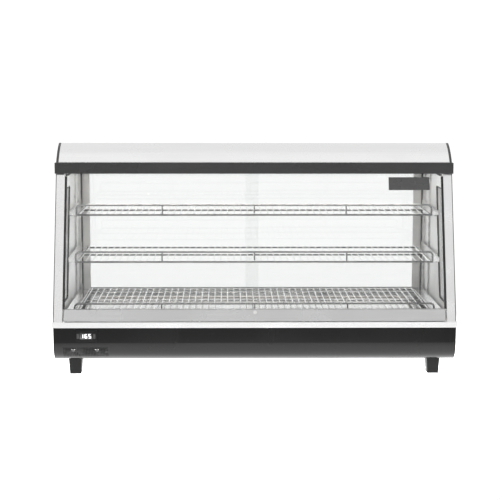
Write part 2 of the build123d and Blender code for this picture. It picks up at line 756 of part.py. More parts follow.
with BuildPart() as uprights:
    for side, sign in SIDES:
        for depth in UPRIGHT_DEPTHS:
            with BuildSketch(Plane.XY.offset(UPRIGHT_LOW)):
                with Locations((sign * (WALL_IN - UPRIGHT_DEEP / 2), FRONT + depth)):
                    Rectangle(UPRIGHT_DEEP, UPRIGHT_WIDE)
                with Locations((sign * (WALL_IN - UPRIGHT_DEEP / 2 + SHEET), FRONT + depth)):
                    Rectangle(UPRIGHT_DEEP, UPRIGHT_WIDE - 2 * SHEET, mode=Mode.SUBTRACT)
            extrude(amount=UPRIGHT_HIGH - UPRIGHT_LOW)
        start, length = span(sign, UPRIGHT_FACE - 1, UPRIGHT_FACE + 2 * SHEET)
        with BuildSketch(Plane.YZ.offset(start)):
            for depth in UPRIGHT_DEPTHS:
                with Locations((FRONT + depth, SLOT_MID)):
                    with GridLocations(1, SLOT_PITCH, 1, SLOT_COUNT):
                        Rectangle(SLOT_WIDTH, SLOT_TALL)
        extrude(amount=length, mode=Mode.SUBTRACT)
        for depth in UPRIGHT_DEPTHS:
            flange_y = FRONT + depth - UPRIGHT_WIDE / 2
            with BuildSketch(Plane.XZ.offset(1 - flange_y)):
                with Locations((sign * (WALL_IN - UPRIGHT_DEEP / 2 + 0.5), SLOT_MID)):
                    with GridLocations(1, SLOT_PITCH, 1, SLOT_COUNT):
                        Rectangle(FLANGE_SLOT, SLOT_TALL)
            extrude(amount=-SHEET - 1.5, mode=Mode.SUBTRACT)
save(uprights, "uprights")

ARM_BACK = FRONT + 515.0
ARM_WEB_OUT = UPRIGHT_FACE - 0.5
ARM_WEB = 2.0
ARM_TALL = 16.0
ARM_LEDGE_IN = SHELF_HALF - 6.0
ARM_SHEET = 2.0
HOOK_WIDE = 4.0
HOOK_PLATE = (14.0, 22.0)

with BuildPart() as shelf_arms:
    for level, rods in SHELF_LEVELS.values():
        arm_top = level - ROD
        arm_front = FRONT + rods[0] + 24
        for side, sign in SIDES:
            with BuildSketch(Plane.XZ.offset(-ARM_BACK)):
                with Locations((sign * (ARM_LEDGE_IN + ARM_WEB_OUT) / 2, arm_top - ARM_SHEET / 2)):
                    Rectangle(ARM_WEB_OUT - ARM_LEDGE_IN, ARM_SHEET)
                with Locations((sign * (ARM_WEB_OUT - ARM_WEB / 2), arm_top - ARM_SHEET + ARM_TALL / 2)):
                    Rectangle(ARM_WEB, ARM_TALL)
            extrude(amount=ARM_BACK - arm_front)
            slot_step = max(round((arm_top - SLOT_MID) / SLOT_PITCH), -(SLOT_COUNT // 2))
            slot_z = SLOT_MID + SLOT_PITCH * slot_step
            start, length = span(sign, ARM_WEB_OUT - ARM_WEB, UPRIGHT_FACE + 3)
            with BuildSketch(Plane.YZ.offset(start)):
                for depth in UPRIGHT_DEPTHS:
                    with Locations((FRONT + depth, slot_z)):
                        Rectangle(HOOK_WIDE, SLOT_TALL - 2)
            extrude(amount=length)
            start, length = span(sign, ARM_WEB_OUT - ARM_WEB, ARM_WEB_OUT)
            with BuildSketch(Plane.YZ.offset(start)):
                for depth in UPRIGHT_DEPTHS:
                    with Locations((FRONT + depth, arm_top)):
                        Rectangle(*HOOK_PLATE)
            extrude(amount=length)
save(shelf_arms, "shelf_arms")

for name, (level, rods) in SHELF_LEVELS.items():
    shelf_front = FRONT + rods[0]
    shelf_back = FRONT + rods[-1]
    wire_z = level + ROD + WIRE - 0.8
    with BuildPart() as shelf:
        with BuildSketch(Plane.YZ.offset(-SHELF_HALF)):
            for rod_depth in rods:
                with Locations((FRONT + rod_depth, level)):
                    Circle(ROD)
        extrude(amount=2 * SHELF_HALF)
        with BuildSketch(Plane.XZ.offset(-shelf_back)):
            with Locations((-SHELF_HALF, level), (SHELF_HALF, level)):
                Circle(ROD)
        extrude(amount=shelf_back - shelf_front)
        with BuildSketch(Plane.XZ.offset(-shelf_back - ROD)):
            with Locations((0, wire_z)):
                with GridLocations(WIRE_PITCH, 1, WIRE_COUNT, 1):
                    Circle(WIRE)
        extrude(amount=shelf_back - shelf_front + 2 * ROD)
    save(shelf, f"shelf_{name}")

    with BuildPart() as shelf_guard:
        with BuildLine() as guard_path:
            FilletPolyline(
                (-SHELF_HALF, shelf_front, level),
                (-SHELF_HALF, shelf_front, level + GUARD_RISE),
                (SHELF_HALF, shelf_front, level + GUARD_RISE),
                (SHELF_HALF, shelf_front, level),
                radius=GUARD_BEND,
            )
        with BuildSketch(Plane(guard_path.line @ 0, z_dir=(0, 0, 1))):
            Circle(ROD)
        sweep()
        with BuildSketch(Plane.XY.offset(level)):
            with Locations(*[(post_x, shelf_front) for post_x in GUARD_POSTS]):
                Circle(WIRE + 0.5)
        extrude(amount=GUARD_RISE)
        add(shelf.part, mode=Mode.SUBTRACT)
    save(shelf_guard, f"shelf_guard_{name}")

# ---------------------------------------------------------------- rear switches and cord inlet
SWITCH_FRAME = (17.0, 24.0)
SWITCH_DEEP = 22.0
ROCKER_R = 8.0
ROCKER_HALF = 4.8
ROCKER_AXIS = BASE_BACK - 1.5
ROCKER_PIN = 1.2

with BuildPart() as switch_bezels:
    for switch_x in SWITCH_SPOTS.values():
        with BuildSketch(Plane.XZ.offset(-BASE_BACK)):
            with Locations((switch_x, SWITCH_Z)):
                RectangleRounded(*SWITCH_FRAME, 1.5)
        extrude(amount=-2)
        with BuildSketch(Plane.XZ.offset(-BASE_BACK)):
            with Locations((switch_x, SWITCH_Z)):
                Rectangle(SWITCH_CUT[0] - 0.4, SWITCH_CUT[1] - 0.4)
        extrude(amount=SWITCH_DEEP)
        with BuildSketch(Plane.XZ.offset(-BASE_BACK - 2)):
            with Locations((switch_x, SWITCH_Z)):
                Rectangle(SWITCH_CUT[0] - 2.4, 2 * ROCKER_R + 1)
        extrude(amount=12, mode=Mode.SUBTRACT)
        with BuildSketch(Plane.YZ.offset(switch_x - ROCKER_HALF - ROCKER_PIN)):
            with Locations((ROCKER_AXIS, SWITCH_Z)):
                Circle(ROCKER_PIN + RUNNING)
        extrude(amount=2 * (ROCKER_HALF + ROCKER_PIN), mode=Mode.SUBTRACT)
save(switch_bezels, "switch_bezels")

for name, switch_x in SWITCH_SPOTS.items():
    with BuildPart() as rocker:
        with BuildSketch(Plane.YZ.offset(switch_x - ROCKER_HALF)):
            with BuildLine():
                Polyline(
                    (ROCKER_AXIS - 4, SWITCH_Z - 4),
                    (ROCKER_AXIS + 2, SWITCH_Z - 7.2),
                    (ROCKER_AXIS + 5.4, SWITCH_Z - 7.0),
                    (ROCKER_AXIS + 3.6, SWITCH_Z),
                    (ROCKER_AXIS + 5.4, SWITCH_Z + 7.0),
                    (ROCKER_AXIS + 2, SWITCH_Z + 7.2),
                    (ROCKER_AXIS - 4, SWITCH_Z + 4),
                    close=True,
                )
            make_face()
        extrude(amount=2 * ROCKER_HALF)
        with BuildSketch(Plane.YZ.offset(switch_x - ROCKER_HALF - ROCKER_PIN)):
            with Locations((ROCKER_AXIS, SWITCH_Z)):
                Circle(ROCKER_PIN)
        extrude(amount=2 * (ROCKER_HALF + ROCKER_PIN))
    save(rocker, f"rocker_{name}")

with BuildPart() as cord_gland:
    with BuildSketch(Plane.XZ.offset(-BASE_BACK)):
        with Locations((GLAND_X, GLAND_Z)):
            RegularPolygon(GLAND + 4, 6)
    extrude(amount=-3)
    with BuildSketch(Plane.XZ.offset(-BASE_BACK)):
        with Locations((GLAND_X, GLAND_Z)):
            Circle(GLAND - 0.1)
    extrude(amount=12)
    with BuildSketch(Plane.XZ.offset(-BASE_BACK - 12)):
        with Locations((GLAND_X, GLAND_Z)):
            Circle(4)
    extrude(amount=30, mode=Mode.SUBTRACT)
save(cord_gland, "cord_gland")
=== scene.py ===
# %% [markdown]
# # A heated display case
# A counter-top case keeps food warm behind glass. Its solid pieces come ready made,
# each at its place. This lesson lights them, gives each piece its finish, and then
# models the small fittings: display, hems, beads, screws, louvres and pads.

from math import atan2, cos, radians

import bpy
from mathutils import Matrix, Vector


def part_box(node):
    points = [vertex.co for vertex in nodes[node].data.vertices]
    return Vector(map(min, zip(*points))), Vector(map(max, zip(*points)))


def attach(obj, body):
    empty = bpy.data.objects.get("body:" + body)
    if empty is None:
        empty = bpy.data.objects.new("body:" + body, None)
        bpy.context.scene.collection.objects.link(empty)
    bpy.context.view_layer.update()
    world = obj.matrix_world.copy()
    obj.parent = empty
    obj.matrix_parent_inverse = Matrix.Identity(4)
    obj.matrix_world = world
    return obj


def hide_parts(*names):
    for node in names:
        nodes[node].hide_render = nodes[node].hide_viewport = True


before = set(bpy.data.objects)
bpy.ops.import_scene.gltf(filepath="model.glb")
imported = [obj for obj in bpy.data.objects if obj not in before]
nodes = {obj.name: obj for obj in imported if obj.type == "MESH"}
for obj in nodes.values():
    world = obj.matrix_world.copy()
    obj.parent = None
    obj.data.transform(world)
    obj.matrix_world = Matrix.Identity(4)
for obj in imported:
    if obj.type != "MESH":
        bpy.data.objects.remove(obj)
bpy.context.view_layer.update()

# %% [markdown]
# ## The camera
# The case is seen from in front, a little above the top and slightly left of centre.
# A long lens keeps the sides nearly parallel. The camera comes first so that every
# later piece can be judged in the same view.

# %% Camera
SENSOR_MM = 36.0
LENS_MM = 97.6176
CAMERA_PLACE = (-0.0803, -4.244, 0.9296)
TURN, TILT, ROLL = -0.938, 90 - 7.779, 0.08

camera_data = bpy.data.cameras.new("Camera")
camera_data.sensor_width = SENSOR_MM
camera_data.lens = LENS_MM
camera = bpy.data.objects.new("Camera", camera_data)
bpy.context.scene.collection.objects.link(camera)
camera.location = CAMERA_PLACE
aim = Matrix.Rotation(radians(TURN), 4, "Z") @ Matrix.Rotation(radians(TILT), 4, "X")
camera.rotation_euler = (aim @ Matrix.Rotation(radians(ROLL), 4, "Z")).to_euler()
bpy.context.scene.camera = camera
print("lens", round(camera_data.lens, 1), "mm")

# %% [markdown]
# ## Air
# Steel shows what stands round it, so the room comes before the metal. The room could
# be modelled as walls, or wrapped on as a picture. A plain white sky is simpler, needs
# no picture file, and lights the case evenly from all sides.

# %% Air
scene = bpy.context.scene
scene.view_settings.view_transform = "Standard"
scene.view_settings.exposure = 0.15
world = bpy.data.worlds.new("Studio")
scene.world = world
world.use_nodes = True
sky = world.node_tree.nodes["Background"]
sky.inputs["Color"].default_value = (1.0, 1.0, 1.0, 1.0)
sky.inputs["Strength"].default_value = 1.0
print("sky", sky.inputs["Strength"].default_value)

# %% [markdown]
# ## Lamps
# One big soft lamp hangs overhead and one stands at each side. A point lamp would
# leave a hard spot on the steel, so each lamp is a wide rectangle. They add to the
# white sky, so they are weak: just enough to brighten the edges that face them.

# %% Lamps


def add_softbox(name, place, aim, size, power):
    """One rectangular soft lamp that points at a spot."""
    lamp = bpy.data.lights.new(name, "AREA")
    lamp.shape = "RECTANGLE"
    lamp.size, lamp.size_y = size
    lamp.energy = power
    box = bpy.data.objects.new(name, lamp)
    box.location = place
    box.rotation_euler = (Vector(aim) - Vector(place)).to_track_quat("-Z", "Y").to_euler()
    scene.collection.objects.link(box)


add_softbox("Overhead", (0.0, -0.6, 3.2), (0.0, 0.0, 0.4), (3.0, 2.0), 2.5)
add_softbox("Left", (-3.0, -1.6, 1.6), (0.0, 0.0, 0.4), (1.6, 2.0), 3)
add_softbox("Right", (3.0, -1.2, 1.5), (0.0, 0.0, 0.4), (1.6, 2.0), 2.5)
print("lamps", len(bpy.data.lights))

# %% [markdown]
# ## Floor and backcloth
# The floor is pale and glows a little round the case, like a light table. Bright
# metal only shows its shape if something dark is in the room, so a dark backcloth
# hangs behind the camera. It gives the round rods and the sheet edges their grey
# lines.

# %% Floor and backcloth
bpy.ops.object.select_all(action="DESELECT")
bpy.ops.mesh.primitive_plane_add(size=30, location=(0, 0, 0))
floor = bpy.context.object
floor.name = "floor"
bpy.ops.mesh.primitive_plane_add(size=1, location=(0, -7.0, 1.0), rotation=(radians(90), 0, 0))
backcloth = bpy.context.object
backcloth.name = "backcloth"
backcloth.scale = (14, 2.0, 1)
print("stage", floor.name, backcloth.name)

# %% [markdown]
# ## Surface effects shared by several materials
# Each effect is a small node group that gives a number between 0 and 1. It is built
# once and placed in every material that needs it. All of them start in the same way,
# so one function makes the empty group.

# %% Empty group


def new_group(name, inputs, outputs):
    """An empty shader group with named sockets and its two end nodes."""
    group = bpy.data.node_groups.new(name, "ShaderNodeTree")
    for label, kind, value in inputs:
        group.interface.new_socket(label, in_out="INPUT", socket_type=kind).default_value = value
    for label in outputs:
        group.interface.new_socket(label, in_out="OUTPUT", socket_type="NodeSocketFloat")
    return group, group.nodes.new("NodeGroupInput"), group.nodes.new("NodeGroupOutput")


print("ready to build groups")

# %% [markdown]
# *Grain* is fine noise, stretched along the direction of brushing. Bands from a wave
# texture would repeat; noise never does. Equal numbers along all three axes give
# round grain, as on moulded plastic.

# %% Grain


def grain_group():
    """Noise stretched along one axis."""
    group, start, end = new_group("Grain", [("Stretch", "NodeSocketVector", (4, 600, 600))], ["Amount"])
    place = group.nodes.new("ShaderNodeTexCoord")
    stretch = group.nodes.new("ShaderNodeMapping")
    noise = group.nodes.new("ShaderNodeTexNoise")
    noise.inputs["Scale"].default_value = 1.0
    noise.inputs["Detail"].default_value = 4.0
    noise.inputs["Roughness"].default_value = 0.6
    link = group.links.new
    link(place.outputs["Object"], stretch.inputs["Vector"])
    link(start.outputs["Stretch"], stretch.inputs["Scale"])
    link(stretch.outputs["Vector"], noise.inputs["Vector"])
    link(noise.outputs["Fac"], end.inputs["Amount"])
    return group


GRAIN = grain_group()
print("group", GRAIN.name)

# %% [markdown]
# *Handling* is broad, soft noise: smudges, dust and wiping marks. It is used on the
# roughness, where hands leave their marks on real steel.

# %% Handling


def handling_group():
    """Broad uneven patches with soft edges."""
    group, start, end = new_group("Handling", [("Size", "NodeSocketFloat", 6.0)], ["Amount"])
    place = group.nodes.new("ShaderNodeTexCoord")
    noise = group.nodes.new("ShaderNodeTexNoise")
    noise.inputs["Detail"].default_value = 5.0
    noise.inputs["Distortion"].default_value = 0.6
    ramp = group.nodes.new("ShaderNodeMapRange")
    ramp.interpolation_type = "SMOOTHSTEP"
    ramp.inputs["From Min"].default_value = 0.38
    ramp.inputs["From Max"].default_value = 0.66
    link = group.links.new
    link(place.outputs["Object"], noise.inputs["Vector"])
    link(start.outputs["Size"], noise.inputs["Scale"])
    link(noise.outputs["Fac"], ramp.inputs["Value"])
    link(ramp.outputs["Result"], end.inputs["Amount"])
    return group


HANDLING = handling_group()
print("group", HANDLING.name)

# %% [markdown]
# *Edges* finds the edges of the sheet. A Bevel node rounds the normal near an edge,
# so where the rounded normal and the true one differ, an edge is near. Wear could be
# painted by hand, but this finds the edges of every piece by itself. Noise breaks the
# line up, because wear is never even.

# %% Edges


def edges_group():
    """1 along sharp edges, broken up by noise, 0 on flat faces."""
    group, start, end = new_group("Edges", [("Width", "NodeSocketFloat", 0.0015)], ["Amount"])
    bevel = group.nodes.new("ShaderNodeBevel")
    bevel.samples = 4
    true_face = group.nodes.new("ShaderNodeNewGeometry")
    dot = group.nodes.new("ShaderNodeVectorMath")
    dot.operation = "DOT_PRODUCT"
    ramp = group.nodes.new("ShaderNodeMapRange")
    ramp.inputs["From Min"].default_value = 0.995
    ramp.inputs["From Max"].default_value = 0.80
    place = group.nodes.new("ShaderNodeTexCoord")
    noise = group.nodes.new("ShaderNodeTexNoise")
    noise.inputs["Scale"].default_value = 45.0
    noise.inputs["Detail"].default_value = 3.0
    chips = group.nodes.new("ShaderNodeMapRange")
    chips.inputs["From Min"].default_value = 0.45
    chips.inputs["From Max"].default_value = 0.62
    both = group.nodes.new("ShaderNodeMath")
    both.operation = "MULTIPLY"
    link = group.links.new
    link(start.outputs["Width"], bevel.inputs["Radius"])
    link(bevel.outputs["Normal"], dot.inputs[0])
    link(true_face.outputs["Normal"], dot.inputs[1])
    link(dot.outputs["Value"], ramp.inputs["Value"])
    link(place.outputs["Object"], noise.inputs["Vector"])
    link(noise.outputs["Fac"], chips.inputs["Value"])
    link(ramp.outputs["Result"], both.inputs[0])
    link(chips.outputs["Result"], both.inputs[1])
    link(both.outputs["Value"], end.inputs["Amount"])
    return group


EDGES = edges_group()
print("group", EDGES.name)

# %% [markdown]
# *Glow* is for the floor alone: a soft pool round the middle that fades outwards.

# %% Glow


def glow_group():
    """A soft pool of light round the middle of the table, fading to a faint glow."""
    group, start, end = new_group("Glow", [], ["Amount"])
    place = group.nodes.new("ShaderNodeTexCoord")
    shrink = group.nodes.new("ShaderNodeMapping")
    shrink.inputs["Scale"].default_value = (0.6, 1.1, 1.0)
    pool = group.nodes.new("ShaderNodeTexGradient")
    pool.gradient_type = "SPHERICAL"
    ramp = group.nodes.new("ShaderNodeMapRange")
    ramp.interpolation_type = "SMOOTHSTEP"
    ramp.inputs["From Max"].default_value = 0.5
    ramp.inputs["To Min"].default_value = 0.03
    link = group.links.new
    link(place.outputs["Object"], shrink.inputs["Vector"])
    link(shrink.outputs["Vector"], pool.inputs["Vector"])
    link(pool.outputs["Fac"], ramp.inputs["Value"])
    link(ramp.outputs["Result"], end.inputs["Amount"])
    return group


GLOW = glow_group()
print("group", GLOW.name)

# %% [markdown]
# *Wires* splits a shelf by height; it masks the painted highlight on the wires. The
# thin wires lie on top of the thick rods, so a single height tells one from the other.

# %% Wires


def wires_group():
    """1 above a height, 0 below it. Picks out the thin wires that lie on the rods."""
    group, start, end = new_group("Wires", [("Level", "NodeSocketFloat", 0.0)], ["Amount"])
    place = group.nodes.new("ShaderNodeTexCoord")
    split = group.nodes.new("ShaderNodeSeparateXYZ")
    above = group.nodes.new("ShaderNodeMath")
    above.operation = "GREATER_THAN"
    link = group.links.new
    link(place.outputs["Object"], split.inputs["Vector"])
    link(split.outputs["Z"], above.inputs[0])
    link(start.outputs["Level"], above.inputs[1])
    link(above.outputs["Value"], end.inputs["Amount"])
    return group


WIRES = wires_group()
print("group", WIRES.name)

# %% [markdown]
# ## Materials
# Every finish uses the same recipe. Two close tones are mixed by the grain, smudges
# shift the roughness, edges are picked out in a worn tone and the grain gives a
# faint bump. The numbers differ: brushed steel has long grain, powder coat has
# round grain, chrome has almost none.

# %% Finish recipe
EDGE_WIDTH = 0.0015
GRAIN_DEPTH = 0.0004


def add_group(tree, group, label, value):
    """Places a shared group in a material and sets its one input."""
    node = tree.nodes.new("ShaderNodeGroup")
    node.node_tree = group
    node.inputs[label].default_value = value
    return node


def finish(name, tones, rough, metal, stretch, bump, worn=None, patch=6.0, **extra):
    """A detailed procedural material. tones and rough are (low, high) pairs."""
    material = bpy.data.materials.new(name)
    material.use_nodes = True
    tree = material.node_tree
    shader = tree.nodes["Principled BSDF"]
    shader.inputs["Metallic"].default_value = metal
    for label, value in extra.items():
        shader.inputs[label.replace("_", " ")].default_value = value
    grain = add_group(tree, GRAIN, "Stretch", stretch)
    handling = add_group(tree, HANDLING, "Size", patch)
    tone = tree.nodes.new("ShaderNodeMix")
    tone.data_type = "RGBA"
    tone.inputs["A"].default_value = (*tones[0], 1)
    tone.inputs["B"].default_value = (*tones[1], 1)
    spread = tree.nodes.new("ShaderNodeMapRange")
    spread.inputs["To Min"].default_value = rough[0]
    spread.inputs["To Max"].default_value = rough[1]
    relief = tree.nodes.new("ShaderNodeBump")
    relief.inputs["Strength"].default_value = bump
    relief.inputs["Distance"].default_value = GRAIN_DEPTH
    link = tree.links.new
    link(grain.outputs["Amount"], tone.inputs["Factor"])
    link(handling.outputs["Amount"], spread.inputs["Value"])
    link(spread.outputs["Result"], shader.inputs["Roughness"])
    link(grain.outputs["Amount"], relief.inputs["Height"])
    link(relief.outputs["Normal"], shader.inputs["Normal"])
    colour = tone.outputs["Result"]
    if worn:
        edges = add_group(tree, EDGES, "Width", EDGE_WIDTH)
        wear = tree.nodes.new("ShaderNodeMix")
        wear.data_type = "RGBA"
        wear.inputs["B"].default_value = (*worn, 1)
        link(edges.outputs["Amount"], wear.inputs["Factor"])
        link(colour, wear.inputs["A"])
        colour = wear.outputs["Result"]
    link(colour, shader.inputs["Base Color"])
    return material


def grey(value, warm=0.0):
    """A grey tone, a little warm or cool."""
    return (value * (1 + warm), value, value * (1 - warm))


print("mid grey", grey(0.5))

# %% [markdown]
# Stainless sheet is brushed along its length, so the rails and deck have grain along
# X and the upright pieces have grain along Z. Each use of the sheet has its own
# tone of painted reflection and shade, because each faces another part of the room.

# %% Stainless finishes
LONG_GRAIN = (3, 700, 700)
UPRIGHT_GRAIN = (700, 700, 3)
steel_long = finish(
    "stainless_long", (grey(0.63), grey(0.75)), (0.24, 0.36), 1.0, LONG_GRAIN, 0.12, grey(0.9)
)
steel_rail = finish(
    "stainless_rail", (grey(0.49), grey(0.61)), (0.24, 0.36), 1.0, LONG_GRAIN, 0.12, grey(0.9)
)
steel_upright = finish(
    "stainless_upright", (grey(0.66), grey(0.80)), (0.24, 0.36), 1.0, UPRIGHT_GRAIN, 0.12, grey(0.9)
)
steel_outer = finish(
    "stainless_outer", (grey(0.46), grey(0.58)), (0.28, 0.42), 1.0, UPRIGHT_GRAIN, 0.12, grey(0.85)
)
steel_skin = finish(
    "stainless_skin", (grey(0.88), grey(0.96)), (0.40, 0.55), 1.0, UPRIGHT_GRAIN, 0.15, grey(0.98)
)
steel_deck = finish(
    "stainless_deck", (grey(0.80), grey(0.90)), (0.14, 0.22), 1.0, LONG_GRAIN, 0.12, grey(0.98)
)
print("stainless finishes", len(bpy.data.materials))

# %% [markdown]
# The other metals are aluminium on the door runners, chrome on rods, zinc on screws,
# and the heating element's sheath, which heat has tinted in round patches.

# %% Other metals
alloy_tones = (grey(0.62, -0.01), grey(0.74, -0.01))
aluminium = finish("anodised_aluminium", alloy_tones, (0.32, 0.46), 1.0, LONG_GRAIN, 0.1, grey(0.86))
# Painted light: the door pulls are a paler, barely metallic copy of the aluminium, which brightens them
# where they stand in shade behind the glass.
pull_metal = finish(
    "anodised_pull", (grey(0.88), grey(0.95)), (0.5, 0.65), 0.2, UPRIGHT_GRAIN, 0.1, grey(0.86)
)
chrome = finish("chromed_rod", (grey(0.20), grey(0.30)), (0.10, 0.20), 1.0, (220, 220, 220), 0.05, grey(0.8))
zinc_tones = (grey(0.6, 0.02), grey(0.78, 0.02))
zinc = finish("zinc_plate", zinc_tones, (0.25, 0.4), 1.0, (300, 300, 300), 0.15, grey(0.85))
# Painted shadow: near-black steel for the shadow gap along the folded side hems.
shadow_steel = finish("painted_shadow_steel", (grey(0.10), grey(0.16)), (0.3, 0.4), 1.0, UPRIGHT_GRAIN, 0.1, grey(0.3))
burnt_tones = ((0.56, 0.53, 0.51), (0.70, 0.67, 0.65))
element_metal = finish("heat_tinted", burnt_tones, (0.4, 0.6), 1.0, (60, 60, 60), 0.2, grey(0.35), 14.0)
print("metals so far", len(bpy.data.materials))

# %% [markdown]
# Thin wires cross thicker rods on every shelf. The wires are painted bright as a
# highlight and the rods darker as shade. The two could be given a material each, face
# by face, but a shelf has thousands of faces. One material that holds both tones, with
# the *Wires* group to choose between them, is simpler.

# %% Shelf chrome
WIRE_HIGHLIGHT_TONE = 0.96


def shelf_chrome(name, level, rods):
    """Chrome whose thin wires, above a height, carry a painted highlight brighter than the rods."""
    material = finish(name, (grey(rods), grey(rods * 1.4)), (0.10, 0.20), 1.0, (220, 220, 220), 0.05)
    tree = material.node_tree
    shader = tree.nodes["Principled BSDF"]
    above = add_group(tree, WIRES, "Level", level)
    wire_highlight = tree.nodes.new("ShaderNodeMix")
    wire_highlight.data_type = "RGBA"
    wire_highlight.inputs["B"].default_value = (*grey(WIRE_HIGHLIGHT_TONE), 1)
    rod_tone = shader.inputs["Base Color"].links[0].from_socket
    tree.links.new(above.outputs["Amount"], wire_highlight.inputs["Factor"])
    tree.links.new(rod_tone, wire_highlight.inputs["A"])
    tree.links.new(wire_highlight.outputs["Result"], shader.inputs["Base Color"])
    return material


print("wires at tone", WIRE_HIGHLIGHT_TONE)

# %% [markdown]
# The base, bar and canopy ends are powder coated: nearly black, with a fine
# orange-peel skin and paint worn thin on the sheet edges.

# %% Paint
paint = finish(
    "black_powder_coat",
    (grey(0.002), grey(0.004)),
    (0.18, 0.28),
    0.0,
    (380, 380, 380),
    0.14,
    grey(0.07),
    Specular_IOR_Level=0.2,
)
bar_paint = finish(
    "black_bar_coat", (grey(0.028), grey(0.042)), (0.26, 0.36), 0.0, (380, 380, 380), 0.12, grey(0.1)
)
print("paints", paint.name, bar_paint.name)

# %% [markdown]
# Plastic and rubber pieces are duller than the paint and have a round moulded grain.
# The rocker switches, the display and the badge are the glossiest of them.

# %% Plastic and rubber
moulding_tones = (grey(0.02), grey(0.032))
plastic = finish("black_moulding", moulding_tones, (0.42, 0.6), 0.0, (900, 900, 900), 0.3, grey(0.07))
foot_plastic = finish(
    "foot_moulding",
    (grey(0.004), grey(0.008)),
    (0.4, 0.55),
    0.0,
    (500, 500, 500),
    0.3,
    grey(0.05),
    Specular_IOR_Level=0.12,
)
rubber = finish("black_rubber", (grey(0.012), grey(0.02)), (0.6, 0.8), 0.0, (260, 260, 260), 0.3, grey(0.05))
rocker_tones = (grey(0.02), grey(0.03))
rocker_plastic = finish("rocker_gloss", rocker_tones, (0.15, 0.28), 0.0, (400, 400, 400), 0.1, grey(0.08))
bezel_gloss = finish(
    "black_bezel", (grey(0.002), grey(0.004)), (0.3, 0.42), 0.0, (700, 700, 700), 0.1, Specular_IOR_Level=0.2
)
display_glass = finish("display_lens", (grey(0.05), grey(0.07)), (0.1, 0.2), 0.0, (200, 200, 200), 0.03)
badge_gloss = finish("blank_badge", (grey(0.05), grey(0.065)), (0.2, 0.32), 0.0, LONG_GRAIN, 0.12, grey(0.2))
print("mouldings", plastic.name, foot_plastic.name, rubber.name)

# %% [markdown]
# Three surfaces give light: the frosted lamp lens in the roof, the digits and the
# floor. The first two are a plain finish with an emission strength.

# %% Lit surfaces
lens_plastic = finish(
    "frosted_lens",
    (grey(0.86), grey(0.92)),
    (0.4, 0.55),
    0.0,
    LONG_GRAIN,
    0.1,
    Emission_Strength=44.0,
    Emission_Color=(1.0, 0.96, 0.9, 1.0),
)
display_light = finish(
    "display_light",
    (grey(0.9), grey(0.95)),
    (0.3, 0.4),
    0.0,
    (400, 400, 400),
    0.02,
    Emission_Strength=0.8,
    Emission_Color=(0.95, 0.98, 1.0, 1.0),
)
print("lit", lens_plastic.name, display_light.name)

# %% [markdown]
# The floor's glow comes from the *Glow* group, which feeds its emission colour. The
# backcloth is plain dark cloth.

# %% Floor and cloth finishes
floor_tones = (grey(0.86), grey(0.88))
floor_finish = finish(
    "pale_floor", floor_tones, (0.6, 0.75), 0.0, (3, 3, 3), 0.02, None, 0.5, Emission_Strength=3.0
)
floor_tree = floor_finish.node_tree
glow = floor_tree.nodes.new("ShaderNodeGroup")
glow.node_tree = GLOW
floor_tree.links.new(glow.outputs["Amount"], floor_tree.nodes["Principled BSDF"].inputs["Emission Color"])
floor.data.materials.append(floor_finish)
cloth_finish = finish("dark_cloth", (grey(0.05), grey(0.08)), (0.8, 0.9), 0.0, (60, 60, 60), 0.2)
backcloth.data.materials.append(cloth_finish)
print("materials", len(bpy.data.materials))

# %% [markdown]
# Float glass is clear with a faint green body. Wiping leaves faint streaks, so the
# roughness varies a little between nothing and a small top value.

# %% Glass


def glass_finish(name, tint, streak):
    """Clear sheet glass with wiped streaks."""
    tones = (tint, tuple(min(1, channel * 1.01) for channel in tint))
    clear = {"Transmission_Weight": 1.0, "IOR": 1.45}
    return finish(name, tones, (0.0, streak), 0.0, (2.0, 2.0, 2.0), 0.0, None, 3.0, **clear)


front_pane = glass_finish("front_float_glass", (0.91, 0.917, 0.913), 0.012)
side_pane = glass_finish("side_float_glass", (0.95, 0.958, 0.954), 0.015)
door_pane = glass_finish("door_float_glass", (0.95, 0.958, 0.954), 0.02)
print("glass", front_pane.name, side_pane.name, door_pane.name)

# %% [markdown]
# ## Finishes on the real pieces
# Each CAD piece takes the finish that it has on a real case. A table of finishes, each
# with its pieces, is easier to check than a line for every piece.

# %% Table of finishes
FINISHES = {
    steel_long: ["canopy"],
    steel_rail: ["front_rail"],
    steel_deck: ["deck", "ceiling", "shelf_arms"],
    steel_upright: ["front_stile_left", "front_stile_right"],
    steel_outer: ["side_skin_outer_left", "side_skin_outer_right"],
    steel_skin: [
        "uprights",
        "rear_post_left",
        "rear_post_right",
        "side_skin_inner_left",
        "side_skin_inner_right",
        "window_frames",
    ],
    aluminium: ["door_track_top", "door_track_bottom", "front_hinge", "lamp_housing"],
    pull_metal: ["door_pull_left", "door_pull_right"],
    chrome: [name for name in nodes if name.startswith("shelf_guard_")],
    zinc: ["foot_bolts", "element_clips", "rail_knob"],
    element_metal: ["heating_element"],
    paint: ["base_front", "base_end_left", "base_end_right", "base_rear", "base_bottom"],
    bar_paint: ["top_bar", "canopy_end_left", "canopy_end_right"],
    bezel_gloss: ["controller_body"],
    plastic: ["button_set", "button_down", "switch_bezels", "cord_gland", "panel_screws"],
    foot_plastic: [name for name in nodes if name.startswith("foot_") and name != "foot_bolts"],
    rubber: ["side_seals", "door_gaskets"],
    rocker_plastic: ["rocker_power", "rocker_light"],
    badge_gloss: ["badge_plate"],
    lens_plastic: ["lamp_lens"],
    front_pane: ["front_glass"],
    side_pane: ["side_glass_left", "side_glass_right"],
    door_pane: ["door_glass_left", "door_glass_right"],
}
print("finishes in the table", len(FINISHES))

# %% [markdown]
# The shelves' chrome is made here, because it needs the height of each shelf. Each
# shelf's rod tone is painted reflection and shade: the lowest shelf hangs over the
# bright deck, so its rods are painted the palest.

